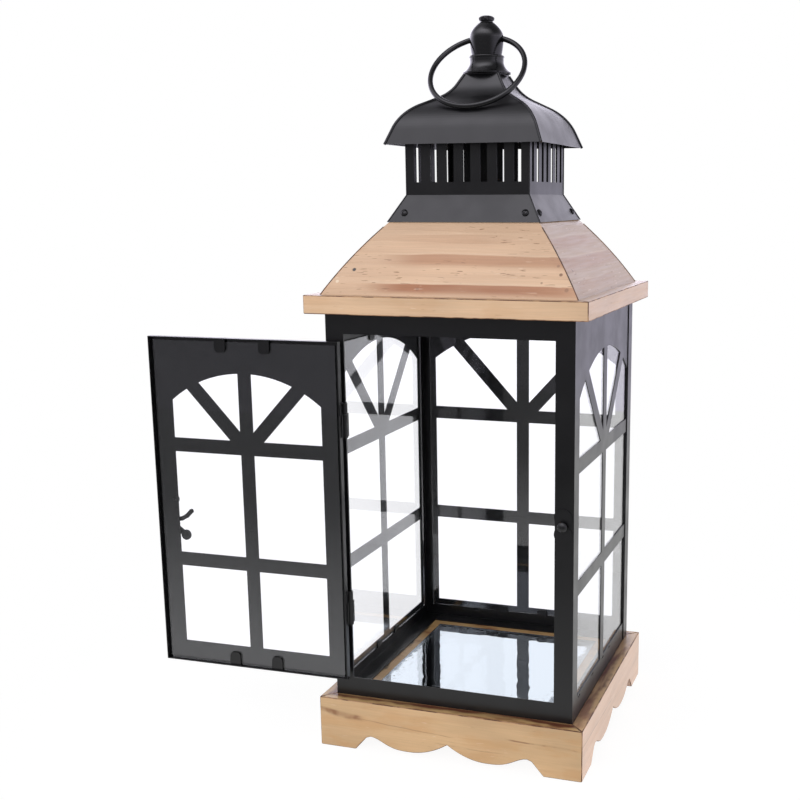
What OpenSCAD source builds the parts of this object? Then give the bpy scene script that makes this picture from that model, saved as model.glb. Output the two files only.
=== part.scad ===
// Floor-standing candle lantern: black sheet-metal cage with arched lattice
// windows and a glazed hinged door, on a scalloped pine base, under a
// pine hipped roof with a louvred metal chimney, ogee cap, finial and ring.
// Millimetres. +Z is up, the door side faces -Y, the origin is on the
// floor under the centre of the base.

/* [Base] */
// Width of the ledge that the base shows around the cage
ledge = 11.75; // [6:0.25:19]
// Height of the wooden base
base_h = 45.5; // [40:0.5:54]
// Thickness of the four apron boards
apron_t = 12; // [9:0.5:14]
// Thickness of the deck board let in between the aprons
deck_t = 16; // [12:0.5:20]
// Flat length of each foot on the floor
foot_w = 33.5; // [28:0.5:38]
// Height of the slanted inner end of each foot
foot_rise = 12; // [9:0.5:13]
// How far the inner end of a foot slants back
foot_slant = 10.5; // [8:0.5:12]
// Height of the scalloped edge beside the feet
shoulder_h = 13.5; // [13:0.5:18]
// Distance of each scallop's lowest point from the middle
lobe_x = 35; // [28:1:44]
// Height of each scallop's lowest point above the floor
lobe_h = 4.2; // [3:0.2:7]
// Height of the cusp in the middle of each side
cusp_h = 16; // [13:0.5:20]
// Width and depth of the mirror plate
mirror_w = 164; // [140:1:172]
// Thickness of the mirror plate
mirror_t = 3; // [2:0.5:5]

/* [Cage] */
// Outside width and depth of the metal cage
cage_w = 216.5; // [212:0.5:222]
// Height of the metal cage from the deck to the eave
cage_h = 339.9; // [332:0.5:350]
// Thickness of all sheet metal
sheet_t = 0.8; // [0.6:0.1:1.2]
// Depth of the flange that stands on the deck
foot_flange = 17; // [12:0.5:20]
// Depth of the flange under the eave
top_flange = 14; // [10:0.5:16]
// Width of the side panel's return behind the front posts
post_flange = 12; // [8:0.5:13]
// Width of the back panel's wrap around the sides
back_wrap = 14; // [10:0.5:14.5]
// Width of the stiles beside the doorway
stile_w = 16.25; // [15.25:0.25:18]
// Height of the doorway's sill above the deck
sill_h = 17; // [14:0.5:20]
// Height of the header over the doorway
header_h = 17.3; // [13:0.1:22]
// Depth of the doorway's turned-in edges
reveal_d = 1.8; // [1.4:0.1:3]

/* [Panel lattice] */
// Margin between the window's sides and the cage's corners
win_side = 15.65; // [14:0.05:19]
// Height of the window's bottom edge above the deck
win_foot = 18.2; // [16:0.2:22]
// Height of the sheet over the window's crown
win_head = 33.7; // [27:0.1:41]
// Radius of the window's arch
win_arch_r = 152; // [130:1:180]
// Width of the horizontal and vertical lattice bars
bar_w = 12.6; // [9:0.2:16]
// Height of the lower crossbar's middle above the window's foot
low_bar = 96; // [86:0.5:104]
// Height of the upper crossbar's middle above the window's foot
high_bar = 200.7; // [192:0.5:206]
// Length of the slits punched below the right window
slit_w = 7; // [5:0.5:9]
// Height of the slits
slit_h = 1.6; // [1:0.1:2]
// Slope of the fan bars above the horizontal
fan_slope = 47.5; // [42:0.5:54]

/* [Glass] */
// Thickness of every glass pane
glass_t = 2; // [1.5:0.1:2.2]
// Overlap of a pane beyond its window
glass_lap = 6; // [4:0.5:7]
// Width of the bent tabs that hold the panes
tab_w = 10.5; // [8:0.5:13]
// Reach of a fixed panel's tab over its pane
tab_reach = 5.5; // [4:0.5:7]
// Radius of the tabs' rounded corners
tab_round = 3.4; // [2:0.2:3.8]
// Distance of each tab from the middle of its panel
tab_x = 21; // [16:1:28]

/* [Door] */
// Gap between the doorway's sides and the door
door_gap = 1.8; // [1.3:0.1:2.5]
// Gap between the sill and the door's bottom edge
door_sill_gap = 1.7; // [1:0.1:2.6]
// Gap between the door's top edge and the header
door_head_gap = 5.7; // [3.5:0.1:9]
// Depth of the turned-in edges of the door pan
pan_d = 5.6; // [5:0.1:8]
// Width of the door's rim beside its arched window
door_rim = 18.6; // [16:0.1:21]
// Height of the door window's bottom edge above the door's edge
door_win_foot = 18.4; // [16:0.2:21]
// Height of the door's rim over the window's crown
door_win_head = 30.7; // [24:0.1:36]
// Radius of the door window's arch
door_arch_r = 113; // [100:1:140]
// Height of the lower crossbar's middle above the window's foot
door_low_bar = 78.1; // [70:0.5:86]
// Height of the upper crossbar's middle above the window's foot
door_high_bar = 183.5; // [176:0.5:188]
// Margin between the door's pane and the pan's walls
pane_margin = 2.6; // [1.5:0.1:4]
// Reach of a door tab over its pane
door_tab_reach = 10; // [7:0.5:12]
// Opening angle of the door as it stands
door_open = 179; // [90:1:180]

/* [Hinges] */
// Height of the lower hinge above the deck
hinge_low = 67.8; // [50:0.5:90]
// Height of the upper hinge above the deck
hinge_high = 234.6; // [215:0.5:250]
// Outside radius of the knuckles
knuckle_r = 2.4; // [2.1:0.1:2.6]
// Radius of the hinge pins
pin_r = 1.25; // [1:0.05:1.3]
// Length of the knuckle on the frame
frame_knuckle = 20; // [15:0.5:26]
// Length of the knuckle on the door
door_knuckle = 9.4; // [7:0.2:14]
// Thickness of the hinge leaves
leaf_t = 0.5; // [0.4:0.05:0.55]
// Reach of a hinge's frame leaf behind the cage's front face
leaf_reach = 5; // [4:0.5:8]
// How far the hinge axis lies in front of the cage
hinge_out = 2.8; // [2.75:0.05:3.2]

/* [Latch] */
// Distance of the latch rivet from the door's free edge
rivet_in = 13.9; // [11.2:0.1:14.3]
// Height of the latch rivet above the deck
rivet_h = 169.5; // [150:0.5:185]
// Distance of the stud from the doorway's edge
stud_in = 7.1; // [6.3:0.1:7.7]
// Height of the stud above the latch rivet
stud_rise = 2; // [0:0.2:4]
// Thickness of the stamped hook
hook_t = 1.6; // [1.2:0.1:2]
// Width of the hook's arm and tail
hook_w = 3.8; // [3:0.1:4.2]
// Radius of the hook's round end lobe
lobe_r = 4.7; // [4:0.1:5.2]
// Length of the hook's tail
tail_l = 15; // [12:0.2:16]
// Sideways curl of the hook's tail
tail_curl = 7.2; // [5:0.1:8]
// Direction in which the hook hangs, from the horizontal
hook_hang = 266; // [255:1:272]
// Radius of the stud's neck
neck_r = 1.4; // [1:0.1:1.5]
// Radius of the stud's knob
knob_r = 4.2; // [3.4:0.1:5]
// Thickness of the lobed plate under the stud
plate_t = 0.6; // [0.5:0.1:1]
// Radius of the plate's two lobes
plate_r = 7.7; // [7:0.1:8]

/* [Roof] */
// How far the eave frame stands out over the cage
eave_out = 13.25; // [10:0.25:17]
// Height of the eave frame
eave_h = 15.4; // [12:0.2:20]
// Width of the eave boards
eave_d = 30; // [27:0.5:34]
// Width of the ledge that the eave shows around the roof
roof_ledge = 10.8; // [7:0.1:14]
// Height of the roof from the eave to the chimney skirt
roof_h = 58.6; // [52:0.5:66]
// Thickness of the roof boards
roof_t = 12; // [9:0.5:14]
// Outward swell of the roof boards
roof_swell = 2; // [0.5:0.1:3]
// Height of roof board hidden under the skirt
roof_tuck = 14; // [12:0.5:15]

/* [Chimney] */
// Width of the chimney skirt at its lower edge
skirt_w = 134.3; // [130:0.5:138]
// Height of the flared skirt
skirt_h = 22.3; // [20:0.2:26]
// How far the skirt flares out from the chimney's walls
skirt_flare = 12.75; // [10:0.05:15]
// Height from the skirt to the cap's lower edge
vent_h = 41.5; // [36:0.5:50]
// Number of slots in each wall
slot_n = 7; // [3:1:7]
// Width of a slot
slot_w = 6.2; // [4:0.2:8]
// Distance between slots
slot_pitch = 14.7; // [13:0.1:15]
// Height of the slots' lower ends above the skirt
slot_foot = 10.6; // [7:0.2:14]
// Length of the slots
slot_h = 44; // [30:0.5:46]
// Distance of the skirt screws from the skirt's corners
screw_in = 13.75; // [12.5:0.05:19]
// Height of the skirt screws above the skirt's edge
screw_h = 7.6; // [6:0.2:10]
// Radius of the screw shafts
screw_r = 1.5; // [1.2:0.1:1.8]
// Radius of the screw heads
screw_head_r = 3; // [2.6:0.1:3.4]
// Length of the screw shafts
screw_l = 7.4; // [6:0.2:8]

/* [Cap] */
// How far the cap's lower edge stands out over the walls
cap_over = 13.6; // [10:0.1:19]
// Slope of the cap's lower border from the vertical
cap_edge_slope = 22; // [16:1:28]
// Length of the cap's straight lower border
cap_edge_len = 14; // [10:0.5:17]
// Radius of the cap's rounded brow
brow_r = 39; // [35:0.5:43]
// Slope of the cap's upper face from the vertical
cap_slope = 63; // [58:1:66]
// Radius of the hollow that sweeps up to the neck
sweep_r = 31; // [26:0.5:36]
// Slope of the cap's neck from the vertical
neck_slope = 30; // [25:1:36]
// Length of the cap's straight neck
neck_len = 9.5; // [7:0.5:12]
// Width of the cap's neck at the top
neck_w = 30.4; // [29:0.2:34]
// Thickness of the plate that closes the neck
neck_plate_t = 1; // [0.8:0.1:1.6]

/* [Finial and ring] */
// Radius of the collar's rim
rim_r = 20.7; // [18.5:0.1:24]
// Height of the collar's rim
rim_h = 1.2; // [0.8:0.1:2.5]
// Radius of the collar's band
band_r = 14.6; // [13.7:0.1:16]
// Height of the whole collar
collar_h = 15; // [12.5:0.1:18]
// Radius of the finial's waist
waist_r = 12.8; // [12:0.1:13.4]
// Radius of the finial's shoulder
shoulder_r = 14.6; // [13.8:0.1:16]
// Height of the finial's shoulder above the collar
shoulder_z = 15.3; // [14.5:0.1:17]
// Height of the finial's turned body
body_h = 27.5; // [26:0.1:31]
// Radius of the finial's top opening
tip_r = 6; // [5.6:0.1:6.4]
// Radius of the finial's little cap
button_r = 6.75; // [6.3:0.05:8]
// Height of the finial's little cap
button_h = 5.8; // [4:0.1:8]
// Thickness of the spun finial shells
shell_t = 1; // [0.8:0.1:1.3]
// Radius of the bolt through the collar
bolt_r = 2.9; // [2:0.1:3]
// Radius of the ring handle, to the middle of the wire
ring_r = 41; // [38:0.5:46]
// Radius of the ring's wire
wire_r = 2.3; // [2:0.1:2.5]
// Radius of the two holes that carry the ring
ring_hole_r = 3; // [2.9:0.05:3.4]
// Height of the ring's holes above the collar
ring_hole_z = 13.6; // [13:0.1:14.4]

/* [Clearances] */
// Gap around a pin or shaft in its bore
fit = 0.05; // [0.03:0.01:0.08]
// Gap between pieces that lie against each other
seat = 0.2; // [0.1:0.05:0.3]
// Gap under the ring where it rests on the cap
ring_rest = 0.3; // [0.2:0.05:0.5]

/* [Hidden] */
$fn = 64;
ARCH_FN = 180;
STEPS = 12;
e = 1;
FRONT = 0;
RIGHT = 1;
BACK = 2;
LEFT = 3;

// half widths
cage_r = cage_w/2;
inner_r = cage_r - sheet_t;
base_r = cage_r + ledge;
doorway_r = cage_r - stile_w;
door_r = doorway_r - door_gap;
eave_r = cage_r + eave_out;
roof_r = eave_r - roof_ledge;
skirt_r = skirt_w/2;
vent_r = skirt_r - skirt_flare;
cap_r = vent_r + cap_over;
neck_half = neck_w/2;

// whole widths and heights of the doorway, the door and the windows
base_w = 2*base_r;
doorway_w = 2*doorway_r;
doorway_h = cage_h - sill_h - header_h;
door_w = 2*door_r;
door_h = doorway_h - door_sill_gap - door_head_gap;
win_w = cage_w - 2*win_side;
win_h = cage_h - win_foot - win_head;
door_win_w = door_w - 2*door_rim;
door_win_h = door_h - door_win_foot - door_win_head;

// heights
z_deck = base_h;
z_eave = z_deck + cage_h;
z_roof = z_eave + eave_h;
z_skirt = z_roof + roof_h;
z_bend = z_skirt + skirt_h;
z_cap = z_skirt + skirt_h + vent_h;
z_sill = z_deck + sill_h;
z_door = z_sill + door_sill_gap;

// hinge axis, in the gap between the doorway's edge and the door
hinge_x = -(doorway_r + door_r)/2 - 0.3;
hinge_y = -cage_r - hinge_out;

// latch
rivet_x = door_r - rivet_in;
stud_x = doorway_r + stud_in;
rivet_z = z_deck + rivet_h;
stud_z = rivet_z + stud_rise;
reach = norm([stud_x - rivet_x, stud_rise]);
mouth_r = neck_r + 1.1;
hook_lift = plate_t + 0.4;

// sheet skirt: slope, level thickness and the roof line under its edge
skirt_m = (skirt_r - vent_r)/skirt_h;
skirt_a = atan(skirt_m);
skirt_lt = sheet_t/cos(skirt_a);
screw_x = skirt_r - screw_in;
roof_top_r = skirt_r - skirt_lt - seat;

// cap profile as [distance out, height, slope from the vertical]
function arc(p, a0, a1, r) = [
    for (i = [1:STEPS])
        let (a = a0 + (a1 - a0)*i/STEPS, k = sign(a1 - a0))
            [p[0] - k*r*(cos(a0) - cos(a)), p[1] + k*r*(sin(a) - sin(a0)), a]
];
function run(p, a, l) = [p[0] - l*sin(a), p[1] + l*cos(a), a];
cap_flat_len = (cap_r - neck_half - cap_edge_len*sin(cap_edge_slope)
    - brow_r*(cos(cap_edge_slope) - cos(cap_slope))
    - sweep_r*(cos(neck_slope) - cos(cap_slope))
    - neck_len*sin(neck_slope))/sin(cap_slope);
cap_0 = [cap_r, z_cap, cap_edge_slope];
cap_1 = run(cap_0, cap_edge_slope, cap_edge_len);
brow = arc(cap_1, cap_edge_slope, cap_slope, brow_r);
cap_2 = run(brow[STEPS - 1], cap_slope, cap_flat_len);
sweep = arc(cap_2, cap_slope, neck_slope, sweep_r);
cap_3 = run(sweep[STEPS - 1], neck_slope, neck_len);
cap_path = concat([cap_0, cap_1], brow, [cap_2], sweep, [cap_3]);
cap_out = [for (p = cap_path) [p[0], p[1]]];
cap_in = [for (p = cap_path) [p[0] - sheet_t*cos(p[2]), p[1] - sheet_t*sin(p[2])]];
z_neck = cap_3[1];
z_collar = z_neck + neck_plate_t;
z_body = z_collar + collar_h;
z_button = z_body + body_h;
z_ring = z_body + ring_hole_z;
wall_top = lookup(vent_r, cap_in) - seat;

// ring: drop of its centre below the holes, and the lean at which it
// comes to rest against the cap's front, found by halving
function body_out(z) = z < shoulder_z
    ? waist_r + (shoulder_r - waist_r)*sin(90*z/shoulder_z)
    : shoulder_r - (shoulder_r - tip_r)*pow((z - shoulder_z)/(body_h - shoulder_z), 1.9);
hole_x = body_out(ring_hole_z);
ring_c = sqrt(ring_r*ring_r - hole_x*hole_x);
ring_drop = ring_c + ring_r;
function low(a) = [ring_drop*sin(a), z_ring - ring_drop*cos(a)];
function along(p, a, b) = max(0, min(1, (p - a)*(b - a)/((b - a)*(b - a))));
function away(p, a, b) = norm(p - a - along(p, a, b)*(b - a));
function cap_dist(p) = min([
    for (i = [1:len(cap_out) - 1]) away(p, cap_out[i - 1], cap_out[i])
]);
function above(p) = p[1] > lookup(p[0], cap_out) ? 1 : -1;
function ring_gap(a) = above(low(a))*cap_dist(low(a)) - wire_r - ring_rest;
function halve(lo, hi, n) = let (m = (lo + hi)/2)
    n == 0 ? m : ring_gap(m) > 0 ? halve(lo, m, n - 1) : halve(m, hi, n - 1);
ring_lean = halve(20, 85, 24);

PINE = "#dcc09c";
BLACK = "#2a2b2d";
CLEAR = [0.85, 0.92, 0.93, 0.35];
SILVER = "#aab4bb";
STEEL = "#3a3b3d";

// ---- helpers ----

// turns a front piece to another side
module side(i) {
    rotate([0, 0, 90*i]) children();
}

// stands a flat outline upright, its back face on y = 0
module upright(t) {
    rotate([90, 0, 0]) linear_extrude(t) children();
}

// draws an outline of [distance out, height] along the front side and
// cuts both ends to the 45 degree corner planes
module mitred(r, z0, z1) {
    intersection() {
        rotate([90, 0, -90])
            linear_extrude(2*r + 2*e, center = true)
                children();
        translate([0, 0, z0 - e])
            linear_extrude(z1 - z0 + 2*e)
                polygon([[0, 0], [-r - e, -r - e], [r + e, -r - e]]);
    }
}

// flat bar between two points with round ends a little wider than the bar
module strip(a, b, w) {
    d = b - a;
    translate(a) circle(d = w + 0.3);
    translate(b) circle(d = w + 0.3);
    translate(a)
        rotate(atan2(d[1], d[0]))
            translate([0, -w/2]) square([norm(d), w]);
}

// the panes of an arched window: w wide, h high, foot at y = 0
module arched_panes(w, h, r, low, high) {
    fan_y = high - bar_w/2 + 4.2;
    difference() {
        union() {
            translate([-w/2, 0]) square([w, high]);
            intersection() {
                translate([-w/2, high - e]) square([w, h - high + e]);
                translate([0, h - r]) circle(r = r, $fn = ARCH_FN);
            }
        }
        translate([-bar_w/2, -e]) square([bar_w, h + 2*e]);
        for (y = [low, high])
            translate([-w/2 - e, y - bar_w/2]) square([w + 2*e, bar_w]);
        intersection() {
            for (m = [0, 1])
                mirror([m, 0])
                    translate([0, fan_y])
                        rotate(fan_slope)
                            translate([-bar_w, -bar_w/2]) square([h, bar_w]);
            translate([-w/2, high]) square([w, h]);
        }
    }
}

// upright leaf of a tab, h high, with its upper corners rounded
module tab_leaf(h) {
    c = tab_w/2 - tab_round;
    arc_at = [for (i = [0:8]) tab_round*[cos(90*i/8), sin(90*i/8)]];
    upright(sheet_t)
        polygon(concat(
            [[-tab_w/2, 0], [tab_w/2, 0]],
            [for (p = arc_at) [c + p[0], h - tab_round + p[1]]],
            [for (i = [8:-1:0]) [-c - arc_at[i][0], h - tab_round + arc_at[i][1]]]
        ));
}

// a bent tab that carries a pane: a foot under it and a leaf over its back
module glass_tab() {
    depth = glass_t + seat + sheet_t;
    translate([-tab_w/2, 0, -sheet_t]) cube([tab_w, depth, sheet_t]);
    translate([0, depth, -sheet_t]) tab_leaf(tab_reach + sheet_t);
}

// four tabs on the inner face y = 0 for a pane from z0 to z1
module glass_tabs(z0, z1) {
    for (x = [-tab_x, tab_x]) {
        translate([x, 0, z0]) glass_tab();
        translate([x, 0, z1 + seat]) mirror([0, 0, 1]) glass_tab();
    }
}

// ---- wooden base ----

x_foot = base_r - foot_w;
x_slant = x_foot - foot_slant;
x_swell = x_slant - 4;
function swell(t) = (1 - cos(180*pow(t, 1.6)))/2;
apron_half = concat(
    [[base_r, 0], [x_foot, 0], [x_slant, foot_rise]],
    [for (i = [STEPS:-1:1])
        let (t = i/STEPS)
            [lobe_x + (x_swell - lobe_x)*t, lobe_h + (shoulder_h - lobe_h)*swell(t)]],
    [for (i = [STEPS:-1:0])
        let (t = i/STEPS)
            [lobe_x*t, lobe_h + (cusp_h - lobe_h)*(1 - t)*(1 - t)]]
);
n_half = len(apron_half);
apron_edge = concat(
    apron_half,
    [for (i = [n_half - 2:-1:0]) [-apron_half[i][0], apron_half[i][1]]]
);

module base_apron(i) {
    color(PINE)
    side(i)
    intersection() {
        translate([0, -base_r + apron_t, 0])
            upright(apron_t)
                polygon(concat(apron_edge, [[-base_r, base_h], [base_r, base_h]]));
        mitred(base_r, 0, base_h)
            translate([base_r - apron_t, 0]) square([apron_t, base_h]);
    }
}

module base_board() {
    w = base_w - 2*apron_t;
    m = mirror_w + 2*seat;
    color(PINE)
    difference() {
        translate([-w/2, -w/2, base_h - deck_t]) cube([w, w, deck_t]);
        translate([-m/2, -m/2, base_h - mirror_t]) cube([m, m, mirror_t + e]);
    }
}

module base_corner_blocks() {
    c = base_r - apron_t;
    leg = foot_w - apron_t;
    color(PINE)
    for (i = [0:3])
        side(i)
            translate([0, 0, 1])
                linear_extrude(base_h - deck_t - 1)
                    polygon([[c, -c], [c, -c + leg], [c - leg, -c]]);
}

module mirror_plate() {
    color(SILVER)
    translate([-mirror_w/2, -mirror_w/2, base_h - mirror_t])
        cube([mirror_w, mirror_w, mirror_t]);
}

// ---- metal cage ----

// flanges on the deck and under the eave, mitred at the corners
module cage_flanges() {
    mitred(inner_r, z_deck, z_eave)
        union() {
            translate([inner_r - foot_flange, z_deck])
                square([foot_flange, sheet_t]);
            translate([inner_r - top_flange, z_eave - sheet_t])
                square([top_flange, sheet_t]);
        }
}

module front_frame() {
    color(BLACK)
    difference() {
        union() {
            translate([0, -inner_r, 0])
                upright(sheet_t)
                    difference() {
                        translate([-cage_r, z_deck]) square([cage_w, cage_h]);
                        translate([-doorway_r, z_sill]) square([doorway_w, doorway_h]);
                    }
            for (m = [0, 1])
                mirror([m, 0, 0])
                    translate([doorway_r, -inner_r - sheet_t, z_sill])
                        cube([sheet_t, reveal_d, doorway_h]);
            cage_flanges();
        }
        translate([stud_x, -cage_r - e, stud_z])
            rotate([-90, 0, 0]) cylinder(r = neck_r + fit, h = sheet_t + 2*e);
    }
}

// window cut through a fixed panel
module panel_window() {
    translate([0, z_deck + win_foot])
        arched_panes(win_w, win_h, win_arch_r, low_bar, high_bar);
}

// slits punched through the lower rail of the right panel
module panel_slits() {
    for (k = [-0.79, -0.34, 0.04, 0.276])
        translate([k*cage_r - slit_w/2, z_deck + win_foot - 1.2 - slit_h])
            square([slit_w, slit_h]);
}

pane_z0 = z_deck + win_foot - glass_lap;
pane_z1 = z_deck + win_foot + win_h + glass_lap;

// side panel, drawn as a front piece whose front end is at x = -inner_r
module side_panel(slits = false) {
    color(BLACK)
    union() {
        translate([0, -inner_r, 0])
            upright(sheet_t)
                difference() {
                    translate([-inner_r, z_deck]) square([inner_r + cage_r, cage_h]);
                    panel_window();
                    if (slits) panel_slits();
                }
        cage_flanges();
        translate([-inner_r, -inner_r, z_deck + sheet_t])
            cube([sheet_t, post_flange, cage_h - 2*sheet_t]);
        translate([0, -inner_r, 0]) glass_tabs(pane_z0, pane_z1);
    }
}

module right_panel() {
    side(RIGHT) side_panel(slits = true);
}

module left_panel() {
    mirror([1, 0, 0]) side(RIGHT) side_panel();
}

module back_panel() {
    color(BLACK)
    side(BACK)
    union() {
        translate([0, -cage_r, 0])
            upright(sheet_t)
                difference() {
                    translate([-cage_r - sheet_t, z_deck])
                        square([cage_w + 2*sheet_t, cage_h]);
                    panel_window();
                }
        for (m = [0, 1])
            mirror([m, 0, 0])
                translate([cage_r, -cage_r - sheet_t, z_deck])
                    cube([sheet_t, back_wrap + sheet_t, cage_h]);
        translate([0, -sheet_t, 0]) back_flanges();
        translate([0, -cage_r, 0]) glass_tabs(pane_z0, pane_z1);
    }
}

// the back panel's flanges reach in from one sheet further out
module back_flanges() {
    translate([0, sheet_t, 0]) cage_flanges();
    for (z = [z_deck, z_eave - sheet_t])
        translate([-inner_r, -cage_r + sheet_t, z])
            cube([2*inner_r, sheet_t, sheet_t]);
}

// pane behind the window of a fixed panel whose inner face is at y = -r
module fixed_pane(r) {
    w = win_w + 2*glass_lap;
    color(CLEAR)
    translate([-w/2, -r + seat/2, pane_z0])
        cube([w, glass_t, pane_z1 - pane_z0]);
}

module glass_right() {
    side(RIGHT) fixed_pane(inner_r);
}

module glass_left() {
    side(LEFT) fixed_pane(inner_r);
}

module glass_back() {
    side(BACK) fixed_pane(cage_r);
}

// ---- door ----

// swings pieces drawn on the closed door to where the open door stands
module swung() {
    translate([hinge_x, hinge_y, 0])
        rotate([0, 0, -door_open])
            translate([-hinge_x, -hinge_y, 0])
                children();
}

module door_frame() {
    color(BLACK)
    swung()
    difference() {
        union() {
            difference() {
                translate([-door_r, -cage_r, z_door]) cube([door_w, pan_d, door_h]);
                translate([-door_r + sheet_t, -cage_r + sheet_t, z_door + sheet_t])
                    cube([door_w - 2*sheet_t, pan_d, door_h - 2*sheet_t]);
            }
            for (x = [-tab_x, tab_x])
                for (m = [0, 1])
                    translate([x, -inner_r + glass_t + seat + sheet_t, z_door + m*door_h])
                        mirror([0, 0, m]) tab_leaf(door_tab_reach + pane_margin);
        }
        translate([0, -cage_r + sheet_t + e/4, z_door + door_win_foot])
            upright(sheet_t + e)
                arched_panes(door_win_w, door_win_h, door_arch_r, door_low_bar, door_high_bar);
        translate([rivet_x, -cage_r - e, rivet_z])
            rotate([-90, 0, 0]) cylinder(r = screw_r + fit, h = sheet_t + 2*e);
    }
}

module door_glass() {
    m = sheet_t + pane_margin;
    color(CLEAR)
    swung()
    translate([-door_r + m, -inner_r + seat/2, z_door + sheet_t + seat])
        cube([door_w - 2*m, glass_t, door_h - 2*sheet_t - pane_margin]);
}

// ---- hinges ----

// leaf and knuckle on the frame, standing on z = 0
module hinge_frame_leaf() {
    color(BLACK)
    difference() {
        union() {
            translate([hinge_x, hinge_y, 0]) cylinder(r = knuckle_r, h = frame_knuckle);
            translate([-doorway_r, hinge_y + knuckle_r*0.7, 0])
                cube([leaf_t, hinge_out - knuckle_r*0.7 + leaf_reach, frame_knuckle]);
        }
        translate([hinge_x, hinge_y, -e])
            cylinder(r = pin_r + fit, h = frame_knuckle + 2*e);
    }
}

// leaf and knuckle on the door, above the frame's knuckle
module hinge_door_leaf() {
    z = frame_knuckle + seat;
    color(BLACK)
    difference() {
        union() {
            translate([hinge_x, hinge_y, z]) cylinder(r = knuckle_r, h = door_knuckle);
            translate([-door_r - leaf_t, hinge_y + knuckle_r*0.7, z])
                cube([leaf_t, hinge_out - knuckle_r*0.7 + pan_d - seat, door_knuckle]);
        }
        translate([hinge_x, hinge_y, z - e])
            cylinder(r = pin_r + fit, h = door_knuckle + 2*e);
    }
}

module hinge_pin() {
    l = frame_knuckle + seat + door_knuckle + seat;
    color(STEEL)
    translate([hinge_x, hinge_y, 0]) {
        cylinder(r = pin_r, h = l);
        translate([0, 0, l]) cylinder(r = knuckle_r - 0.3, h = 0.8);
    }
}

// ---- latch ----

// hook outline around its rivet, pointing along +x; the stud's neck runs
// round the rivet at the distance reach and enters the mouth from -y
module hook_outline() {
    ring_m = mouth_r + hook_w/2;
    inside = reach - ring_m;
    tail = [
        for (t = [0, 0.33, 0.68, 1])
            [inside - tail_curl*pow(t, 2.3), -tail_l*t]
    ];
    lobe_c = [reach + ring_m + lobe_r*1.25, -lobe_r*1.5];
    difference() {
        union() {
            circle(r = 4);
            strip([0, 0], [inside, hook_w/2], hook_w);
            intersection() {
                translate([reach, 0]) circle(r = mouth_r + hook_w);
                translate([0, 0]) square([2*reach, reach]);
            }
            for (k = [1:3])
                strip(tail[k - 1], tail[k], hook_w);
            strip([reach + ring_m, 0], lobe_c, hook_w + 1);
            translate(lobe_c) circle(r = lobe_r);
        }
        translate([reach, 0]) circle(r = mouth_r);
        translate([reach - mouth_r + 0.2, -mouth_r - hook_w])
            square([2*mouth_r - 0.4, mouth_r + hook_w]);
        circle(r = screw_r + fit);
    }
}

module latch_hook() {
    color(BLACK)
    swung()
    translate([rivet_x, -cage_r - hook_lift, rivet_z])
        upright(hook_t)
            rotate(hook_hang) hook_outline();
}

// shoulder against the door, shank through hook and door, round head
module latch_rivet() {
    head_y = hook_lift + hook_t + seat/2;
    color(STEEL)
    swung()
    translate([rivet_x, -cage_r, rivet_z])
        rotate([90, 0, 0]) {
            translate([0, 0, -sheet_t]) cylinder(r = screw_r, h = sheet_t + head_y);
            cylinder(r = screw_r + 1.1, h = hook_lift - seat/2);
            translate([0, 0, head_y]) cylinder(r = screw_r + 1.5, h = 1);
        }
}

module stud_plate() {
    color(BLACK)
    translate([stud_x, -cage_r, stud_z])
        upright(plate_t)
            difference() {
                for (s = [-1, 1])
                    translate([0, s*(plate_r - 0.6)]) circle(r = plate_r);
                circle(r = neck_r + fit);
            }
}

module latch_stud() {
    neck = plate_t + 0.4 + hook_t + 0.4;
    dome_r = knob_r + 1;
    color(STEEL)
    translate([stud_x, -cage_r, stud_z])
        rotate([90, 0, 0]) {
            translate([0, 0, -sheet_t]) cylinder(r = neck_r, h = sheet_t + neck);
            translate([0, 0, neck])
                intersection() {
                    cylinder(r = knob_r, h = 2*knob_r);
                    translate([0, 0, 3 - dome_r]) sphere(r = dome_r);
                }
        }
}

// ---- wooden roof ----

module eave(i) {
    color(PINE)
    side(i)
    mitred(eave_r, z_eave, z_roof)
        translate([eave_r - eave_d, z_eave]) square([eave_d, eave_h]);
}

// roof board: a swelled outer face, an inner face parallel to it, and
// level cuts where it stands on the eave and stops under the skirt
roof_dir = [roof_top_r - roof_r, roof_h];
roof_n = [roof_h, roof_r - roof_top_r]/norm(roof_dir);
roof_end = 1 + roof_tuck/roof_h;
function roof_face(t, deep) = [roof_r, z_roof] + t*roof_dir
    + (4*roof_swell*t*(1 - t) - deep)*roof_n;

module roof_section() {
    t0 = -0.3;
    t1 = roof_end + 0.3;
    ts = [for (i = [0:2*STEPS]) t0 + (t1 - t0)*i/(2*STEPS)];
    intersection() {
        polygon(concat(
            [for (t = ts) roof_face(t, 0)],
            [for (i = [2*STEPS:-1:0]) roof_face(ts[i], roof_t)]
        ));
        translate([0, z_roof]) square([roof_r + e, roof_h + roof_tuck]);
    }
}

// places children at the eight skirt screws, z along each screw
module at_screws() {
    for (i = [0:3])
        side(i)
            for (x = [-screw_x, screw_x])
                translate([x, -skirt_r + screw_h*skirt_m, z_skirt + screw_h])
                    rotate([90 - skirt_a, 0, 0])
                        children();
}

module roof(i) {
    color(PINE)
    difference() {
        side(i) mitred(roof_r, z_roof, z_skirt + roof_tuck) roof_section();
        at_screws()
            translate([0, 0, -screw_l - seat]) cylinder(r = screw_r + fit, h = screw_l + 2);
    }
}

// ---- chimney ----

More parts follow.
